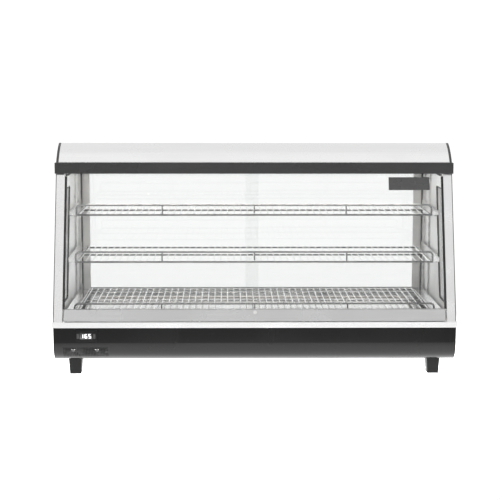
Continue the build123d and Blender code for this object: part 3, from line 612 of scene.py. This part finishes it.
# %% Shelf finishes
PAINTED_ROD_TONES = {"shelf_top": 0.10, "shelf_middle": 0.13, "shelf_bottom": 0.32}
WIRE_DEPTH = 0.0030
for name, rods in PAINTED_ROD_TONES.items():
    wire_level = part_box(name)[1][2] - WIRE_DEPTH
    FINISHES[shelf_chrome(f"{name}_chrome", wire_level, rods)] = [name]
    print(name, "wires above", round(wire_level, 3))

# %% [markdown]
# Every CAD piece already has one material slot, so putting the finish in the first
# slot is enough. Pieces left out of the table are listed.

# %% Dress the pieces
dressed = set()
for material, names in FINISHES.items():
    for name in names:
        nodes[name].data.materials[0] = material
        dressed.add(name)
print("dressed", len(dressed), "left plain", sorted(set(nodes) - dressed))

# %% [markdown]
# ## Tools for the small fittings
# Each fitting starts as a primitive at the origin and is shaped in edit mode. It
# could be shaped at its place, but bevels and insets are easier to judge at the
# origin. Its mesh is then moved to its place, so its object stays at the origin.

# %% Start and settle


def start_piece(kind, name, **sizes):
    """Adds a primitive at the origin with nothing else selected."""
    bpy.ops.object.select_all(action="DESELECT")
    getattr(bpy.ops.mesh, f"primitive_{kind}_add")(location=(0, 0, 0), **sizes)
    piece = bpy.context.object
    piece.name = name
    piece.data.name = name
    return piece


def settle(piece, move=(0, 0, 0), turn=None):
    """Moves the mesh itself, leaving the object at the origin."""
    matrix = Matrix.Translation(move)
    if turn is not None:
        matrix = matrix @ turn
    piece.data.transform(matrix)
    piece.data.update()


print("tools: start_piece, settle")

# %% [markdown]
# A fitting that repeats is modelled once. Its copies each get their own mesh and are
# then joined into one piece.

# %% Copies


def copies(piece, places):
    """Joins copies of a small piece at many places into one object."""
    name = piece.name
    made = []
    for place in places:
        twin = piece.copy()
        twin.data = piece.data.copy()
        twin.data.transform(place if isinstance(place, Matrix) else Matrix.Translation(place))
        scene.collection.objects.link(twin)
        made.append(twin)
    bpy.data.objects.remove(piece)
    bpy.ops.object.select_all(action="DESELECT")
    for twin in made:
        twin.select_set(True)
    bpy.context.view_layer.objects.active = made[0]
    if len(made) > 1:
        bpy.ops.object.join()
    made[0].name = name
    made[0].data.name = name
    return made[0]


print("tool: copies")

# %% [markdown]
# Every fitting ends in the same way: it gets its finish and smooth shading, and is
# tied to the body that carries it, so it moves when that body moves.

# %% Complete


def complete(piece, material, body="case", smooth=30):
    """Finish, material slot and body of a new piece."""
    piece.data.materials.clear()
    piece.data.materials.append(material)
    bpy.ops.object.select_all(action="DESELECT")
    piece.select_set(True)
    bpy.context.view_layer.objects.active = piece
    bpy.ops.object.shade_smooth_by_angle(angle=radians(smooth))
    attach(piece, body)
    print(piece.name, "faces", len(piece.data.polygons))


print("tool: complete")

# %% [markdown]
# Edit mode is entered and left many times, and most fittings have their edges
# rounded a little, because a perfectly sharp edge never catches the light.

# %% Edit mode


def edit():
    """Opens the active piece with everything selected."""
    bpy.ops.object.mode_set(mode="EDIT")
    bpy.ops.mesh.select_all(action="SELECT")


def leave():
    """Closes edit mode, which writes the shape back to the mesh."""
    bpy.ops.object.mode_set(mode="OBJECT")


def bevel_all(width, segments=2):
    """Rounds every edge of the active piece."""
    edit()
    bpy.ops.mesh.bevel(offset=width, segments=segments, affect="EDGES")
    leave()


print("tools: edit, leave, bevel_all")

# %% [markdown]
# ## Controller display
# Behind the bezel is a dark window with lit white digits. The window is a thin
# rounded block that fills the recess. Its rounded rim catches the light as a real
# window does. It stands between the two keys, a little left of the bezel's middle.

# %% Display window
WINDOW_SIZE = (0.037, 0.0009, 0.018)
WINDOW_SHIFT = 0.002
body_low, body_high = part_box("controller_body")
panel_x = (body_low[0] + body_high[0]) / 2 - WINDOW_SHIFT
panel_z = (body_low[2] + body_high[2]) / 2
panel_y = body_low[1]
window = start_piece("cube", "display_window", size=1)
settle(window, turn=Matrix.Diagonal((*WINDOW_SIZE, 1)))
bevel_all(0.0003)
settle(window, (panel_x, panel_y + 0.0005, panel_z))
complete(window, display_glass)

# %% [markdown]
# Each digit is made of the bars of a standard seven-bar digit. A text object would
# need a font, and bars are what the real display has. A bar's place is given by a
# step across, a step up, and whether it stands upright.

# %% Display digits
DIGIT_WIDE, DIGIT_TALL, BAR_THICK = 0.0075, 0.0125, 0.0018
BARS = {
    "top": (0, 1, 0),
    "middle": (0, 0, 0),
    "bottom": (0, -1, 0),
    "upper_left": (-1, 0.5, 1),
    "upper_right": (1, 0.5, 1),
    "lower_left": (-1, -0.5, 1),
    "lower_right": (1, -0.5, 1),
}
DIGIT_GAP = 0.0115
DIGITS = [
    (-DIGIT_GAP, ["upper_right", "lower_right"]),
    (0.0, ["top", "upper_left", "middle", "lower_left", "lower_right", "bottom"]),
    (DIGIT_GAP, ["top", "upper_left", "middle", "lower_right", "bottom"]),
]
bar_places = []
for shift, lit in DIGITS:
    for label in lit:
        across, up, upright = BARS[label]
        x = panel_x + shift + across * (DIGIT_WIDE - BAR_THICK) / 2
        z = panel_z + up * (DIGIT_TALL - BAR_THICK) / 2
        turn = Matrix.Rotation(radians(90 * upright), 4, "Y")
        bar_places.append(Matrix.Translation((x, panel_y - 0.0001, z)) @ turn)
digits = start_piece("cube", "display_digits", size=1)
settle(digits, turn=Matrix.Diagonal(((DIGIT_TALL - BAR_THICK) / 2, 0.0003, BAR_THICK, 1)))
digits = copies(digits, bar_places)
complete(digits, display_light)

# %% [markdown]
# ## Screw glints
# The two black screws in the vent each catch a thin bright streak of light on the
# upper part of the domed head. The streak is a painted highlight: a small rounded bar
# of bright zinc on the tilted head.

# %% Glints
HEAD_RADIUS = 0.0045
HEAD_TILT = radians(20.5)
GLINT_SIZE = (0.0105, 0.0008, 0.0020)
GLINT_BACK, GLINT_DOWN = 0.0016, 0.0050
screws_low, screws_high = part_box("panel_screws")
glint_bar = start_piece("cube", "screw_glints", size=1)
settle(glint_bar, turn=Matrix.Diagonal((*GLINT_SIZE, 1)))
bevel_all(0.0003)
glint_y = screws_low[1] + GLINT_BACK
glint_z = screws_high[2] - GLINT_DOWN
glint_spots = [
    Matrix.Translation((x, glint_y, glint_z)) @ Matrix.Rotation(HEAD_TILT, 4, "X")
    for x in (screws_low[0] + HEAD_RADIUS, screws_high[0] - HEAD_RADIUS)
]
complete(copies(glint_bar, glint_spots), zinc)

# %% [markdown]
# ## Canopy hem
# The front edge of the rolled roof is folded back on itself, which leaves a bright
# rounded line where the roof meets the black bar. The fold could be bent in the sheet
# itself, but a thin rod along the edge shows the same round line.

# %% Hem
HEM_RADIUS = 0.0017
HEM_INSET = 0.0004
roof_low, roof_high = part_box("canopy")
bar_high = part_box("top_bar")[1]
roof_wide = roof_high[0] - roof_low[0]
hem = start_piece("cylinder", "canopy_hem", vertices=24, radius=HEM_RADIUS, depth=roof_wide)
hem_place = (0, roof_low[1] + HEM_INSET, bar_high[2] + HEM_RADIUS)
settle(hem, hem_place, Matrix.Rotation(radians(90), 4, "Y"))
complete(hem, steel_long)

# %% [markdown]
# ## Badge plate
# The plate on the glass has a raised rim round a sunk field. It is left blank.
# A block is inset on its front face and the middle is pushed back. It leans with the
# glass, and this angle is worked out from how far the glass runs back as it rises.

# %% Badge
GLASS_RUN, GLASS_RISE = 0.134, 0.431
BADGE_THICK = 0.0016
RIM_WIDE, RIM_DEEP = 0.0022, 0.0006
lean = atan2(GLASS_RUN, GLASS_RISE)
badge_low, badge_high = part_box("badge_plate")
badge_height = (badge_high[2] - badge_low[2]) / cos(lean)
badge = start_piece("cube", "badge_frame", size=1)
settle(badge, turn=Matrix.Diagonal((badge_high[0] - badge_low[0], BADGE_THICK, badge_height, 1)))
edit()
bpy.ops.mesh.select_all(action="DESELECT")
leave()
for face in badge.data.polygons:
    face.select = face.normal.y < -0.5
bpy.ops.object.mode_set(mode="EDIT")
bpy.ops.mesh.inset(thickness=RIM_WIDE)
bpy.ops.transform.translate(value=(0, RIM_DEEP, 0))
leave()
bevel_all(0.00025)
badge_place = (
    (badge_low[0] + badge_high[0]) / 2,
    (badge_low[1] + badge_high[1]) / 2 - BADGE_THICK / 4,
    (badge_low[2] + badge_high[2]) / 2,
)
settle(badge, badge_place, Matrix.Rotation(-lean, 4, "X"))
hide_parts("badge_plate")
complete(badge, badge_gloss, "front_unit")

# %% [markdown]
# ## Side hems
# The edge of each outer side sheet is folded round the stile, and the shadow gap
# behind it shows from the front as a fine dark line. A dark band in the stile's finish
# would have no thickness, so a slim bar in a painted shadow tone is made, which leans
# with the glass along the outer edge of each stile.

# %% Hems
SIDE_HEM_WIDE, SIDE_HEM_DEEP = 0.0024, 0.0016
SIDE_HEM_INSET = 0.0010
stile_low, stile_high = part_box("front_stile_left")
stile_tall = stile_high[2] - stile_low[2]
hem_long = stile_tall / cos(lean) - 2 * SIDE_HEM_INSET
side_hem = start_piece("cube", "side_hems", size=1)
settle(side_hem, turn=Matrix.Diagonal((SIDE_HEM_WIDE, SIDE_HEM_DEEP, hem_long, 1)))
bevel_all(0.0004)
hem_x = abs(stile_low[0]) - SIDE_HEM_INSET
hem_y = stile_low[1] + stile_tall / 2 * GLASS_RUN / GLASS_RISE
hem_z = (stile_low[2] + stile_high[2]) / 2
hem_spots = [
    Matrix.Translation((side * hem_x, hem_y, hem_z)) @ Matrix.Rotation(-lean, 4, "X") for side in (-1, 1)
]
complete(copies(side_hem, hem_spots), shadow_steel)

# %% [markdown]
# ## Window beads
# A dark bead lines the inner mouth of each side window. From the front its rear
# length shows as a fine grey line. A plane is sheared into the window's outline by
# sliding its top edge back, its corners are rounded, and the ring left by an inset
# is thickened. A curve with a round profile would do too, but a ring of mesh keeps
# the bead flat against the sheet.

# %% Beads
frame_low, frame_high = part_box("window_frames")
wall_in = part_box("side_skin_inner_right")[0][0]
EDGE_GAP = 0.0025
BEAD_WIDE, BEAD_DEEP, BEAD_CORNER = 0.003, 0.005, 0.012
tall = frame_high[2] - frame_low[2] - 2 * EDGE_GAP
run = tall * GLASS_RUN / GLASS_RISE
wide = frame_high[1] - frame_low[1] - 2 * EDGE_GAP - run
bead = start_piece("plane", "window_beads", size=1)
settle(bead, turn=Matrix.Rotation(radians(90), 4, "Y"))
settle(bead, turn=Matrix.Diagonal((1, wide, tall, 1)))
bpy.ops.object.mode_set(mode="EDIT")
bpy.ops.mesh.select_mode(type="VERT")
bpy.ops.mesh.select_all(action="DESELECT")
leave()
for vertex in bead.data.vertices:
    vertex.select = vertex.co.z > 0
bpy.ops.object.mode_set(mode="EDIT")
bpy.ops.transform.translate(value=(0, run, 0))
bpy.ops.mesh.select_all(action="SELECT")
bpy.ops.mesh.bevel(offset=BEAD_CORNER, segments=6, affect="VERTICES")
bpy.ops.mesh.select_mode(type="FACE")
bpy.ops.mesh.select_all(action="SELECT")
bpy.ops.mesh.inset(thickness=BEAD_WIDE)
bpy.ops.mesh.delete(type="FACE")
bpy.ops.mesh.select_all(action="SELECT")
bpy.ops.mesh.extrude_region_move(TRANSFORM_OT_translate={"value": (BEAD_DEEP, 0, 0)})
bpy.ops.mesh.select_all(action="SELECT")
bpy.ops.mesh.normals_make_consistent(inside=False)
leave()
middle_y = (frame_low[1] + frame_high[1]) / 2 - run / 2
middle_z = (frame_low[2] + frame_high[2]) / 2
bead_spots = [Matrix.Translation((x, middle_y, middle_z)) for x in (wall_in, -wall_in - BEAD_DEEP)]
complete(copies(bead, bead_spots), rubber)

# %% [markdown]
# ## Screw heads
# Domed screws hold the outer side sheets, the rear panel and the roof flange. Each
# head is a short cylinder. Its rim is rounded, and the middle of its top is inset and
# pushed down into a socket.

# %% Screw head


def screw_head(name, radius, height):
    """A domed head with a socket, facing +Z, sitting on the origin."""
    head = start_piece("cylinder", name, vertices=24, radius=radius, depth=height)
    settle(head, (0, 0, height / 2))
    bpy.ops.object.mode_set(mode="EDIT")
    bpy.ops.mesh.select_mode(type="FACE")
    leave()
    for polygon in head.data.polygons:
        polygon.select = polygon.normal.z > 0.9
    bpy.ops.object.mode_set(mode="EDIT")
    bpy.ops.mesh.bevel(offset=height * 0.55, segments=3, affect="EDGES")
    bpy.ops.mesh.select_all(action="DESELECT")
    leave()
    top = max(head.data.polygons, key=lambda polygon: polygon.center.z * 10 + polygon.area)
    top.select = True
    bpy.ops.object.mode_set(mode="EDIT")
    bpy.ops.mesh.inset(thickness=radius * 0.22)
    bpy.ops.mesh.extrude_region_move(TRANSFORM_OT_translate={"value": (0, 0, -height * 0.6)})
    leave()
    return head


print("tool: screw_head")

# %% [markdown]
# On each side three screws run down the rear edge of the sheet and two along its
# foot.

# %% Side screws
SCREW_RADIUS, SCREW_TALL = 0.0042, 0.0022
REAR_MARGIN, END_MARGIN, FOOT_MARGIN = 0.016, 0.03, 0.014
skin_low, skin_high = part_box("side_skin_outer_left")
rear_edge = skin_high[1] - REAR_MARGIN
foot_edge = skin_low[2] + FOOT_MARGIN
side_points = [
    (rear_edge, skin_low[2] + END_MARGIN),
    (rear_edge, skin_low[2] + END_MARGIN + 0.20),
    (rear_edge, skin_high[2] - END_MARGIN),
    (skin_low[1] + 0.10, foot_edge),
    (skin_low[1] + 0.33, foot_edge),
]
side_spots = [
    Matrix.Translation((side * abs(skin_low[0]), y, z)) @ Matrix.Rotation(radians(90 * side), 4, "Y")
    for side in (-1, 1)
    for y, z in side_points
]
side_screws = copies(screw_head("side_screws", SCREW_RADIUS, SCREW_TALL), side_spots)
complete(side_screws, zinc)

# %% [markdown]
# The rear panel has two rows of five screws, and four more hold the flange at the
# rear of the roof.

# %% Rear screws
PANEL_COLUMNS = (-0.585, -0.3, 0.0, 0.3, 0.585)
ROOF_COLUMNS = (-0.57, -0.19, 0.19, 0.57)
base_low, base_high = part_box("base_rear")
to_rear = Matrix.Rotation(radians(-90), 4, "X")
panel_rows = (base_low[2] + 0.010, base_high[2] - 0.022)
flange_row = bar_high[2] + 0.016
rear_spots = [Matrix.Translation((x, base_high[1], z)) @ to_rear for x in PANEL_COLUMNS for z in panel_rows]
rear_spots += [Matrix.Translation((x, roof_high[1], flange_row)) @ to_rear for x in ROOF_COLUMNS]
rear_screws = copies(screw_head("rear_screws", SCREW_RADIUS, SCREW_TALL), rear_spots)
complete(rear_screws, zinc)

# %% [markdown]
# ## Louvre hoods
# The cooling slots in the base ends and rear are pressed louvres: each slot has a
# small hood over it. A cylinder is squashed into a low hood and cut twice: once along
# its middle, and once below its mouth, which stays open. Solidify gives the sheet its
# thickness.

# %% Hood
HOOD_TALL, HOOD_DEEP, HOOD_MOUTH = 0.007, 0.005, 0.0012
HOOD_SHEET = 0.0006


def hood(name, length):
    """A half-round hood along X, open below, standing on the XY plane."""
    piece = start_piece("cylinder", name, vertices=24, radius=0.5, depth=1)
    settle(piece, turn=Matrix.Rotation(radians(90), 4, "Y"))
    settle(piece, turn=Matrix.Diagonal((length, HOOD_TALL, HOOD_DEEP, 1)))
    for point, facing in (((0, 0, 0), (0, 0, 1)), ((0, -HOOD_MOUTH, 0), (0, 1, 0))):
        edit()
        bpy.ops.mesh.bisect(plane_co=point, plane_no=facing, clear_inner=True, use_fill=False)
        leave()
    sheet = piece.modifiers.new("Sheet", "SOLIDIFY")
    sheet.thickness = HOOD_SHEET
    bpy.ops.object.modifier_apply(modifier=sheet.name)
    return piece


def evenly(count, pitch):
    """Places on both sides of zero, one pitch apart."""
    return [(number - (count - 1) / 2) * pitch for number in range(count)]


print("tools: hood, evenly")

# %% [markdown]
# Each end of the base has four columns of four hoods near its rear, over the slots
# that are cut there.

# %% End louvres
ROW_PITCH = 0.012
HOOD_LEVEL = 0.101
END_PITCH, END_CENTRE = 0.036, 0.437
end_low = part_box("base_end_left")[0]
hood_spots = []
for side in (-1, 1):
    out = Matrix.Rotation(radians(90 * side), 4, "Z") @ Matrix.Rotation(radians(90), 4, "X")
    for across in evenly(4, END_PITCH):
        for up in evenly(4, ROW_PITCH):
            place = (side * abs(end_low[0]), end_low[1] + END_CENTRE + across, HOOD_LEVEL + up)
            hood_spots.append(Matrix.Translation(place) @ out)
end_louvres = copies(hood("end_louvres", 0.028), hood_spots)
complete(end_louvres, paint)

# %% [markdown]
# The rear panel has six columns of longer hoods, to one side of its middle.

# %% Rear louvres
PANEL_PITCH, PANEL_CENTRE = 0.060, 0.2
out = Matrix.Rotation(radians(180), 4, "Z") @ Matrix.Rotation(radians(90), 4, "X")
rear_hoods = [
    Matrix.Translation((PANEL_CENTRE + across, base_high[1], HOOD_LEVEL + up)) @ out
    for across in evenly(6, PANEL_PITCH)
    for up in evenly(4, ROW_PITCH)
]
rear_louvres = copies(hood("rear_louvres", 0.045), rear_hoods)
complete(rear_louvres, paint)

# %% [markdown]
# ## Rating plate
# A small metal plate is riveted to the rear panel. It is left blank. Its four rivets
# are made by the same function as the screws, with smaller numbers.

# %% Rating plate
PLATE_WIDE, PLATE_TALL, PLATE_THICK = 0.075, 0.045, 0.0008
PLATE_X, PLATE_Z = -0.20, 0.110
RIVET_X, RIVET_Z = 0.033, 0.018
plate = start_piece("cube", "rating_plate", size=1)
settle(plate, turn=Matrix.Diagonal((PLATE_WIDE, PLATE_THICK, PLATE_TALL, 1)))
bevel_all(0.0003, 1)
settle(plate, (PLATE_X, base_high[1] + PLATE_THICK / 2, PLATE_Z))
complete(plate, aluminium)

rivets = screw_head("plate_rivets", 0.0018, 0.0009)
rivet_spots = [
    Matrix.Translation((PLATE_X + x, base_high[1] + PLATE_THICK, PLATE_Z + z)) @ to_rear
    for x in (-RIVET_X, RIVET_X)
    for z in (-RIVET_Z, RIVET_Z)
]
complete(copies(rivets, rivet_spots), zinc)

# %% [markdown]
# ## Foot pads
# A thin rubber pad is pressed round the toe of each foot so the case doesn't slide.
# Only its rounded rim is seen, so a bevelled block is enough.

# %% Pads
PAD_WIDE, PAD_LONG, PAD_THICK = 0.0352, 0.0452, 0.004
pad_places = []
for name in ("foot_front_left", "foot_front_right", "foot_rear_left", "foot_rear_right"):
    low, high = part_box(name)
    pad_places.append(Matrix.Translation(((low[0] + high[0]) / 2, (low[1] + high[1]) / 2, 0.0)))
pad = start_piece("cube", "foot_pads", size=1)
settle(pad, (0, 0, PAD_THICK / 2), Matrix.Diagonal((PAD_WIDE, PAD_LONG, PAD_THICK, 1)))
bevel_all(0.0012, 2)
complete(copies(pad, pad_places), rubber)

# %% [markdown]
# The view layer is updated once more, with every fitting in place.

# %% Update
scene.view_layers[0].update()
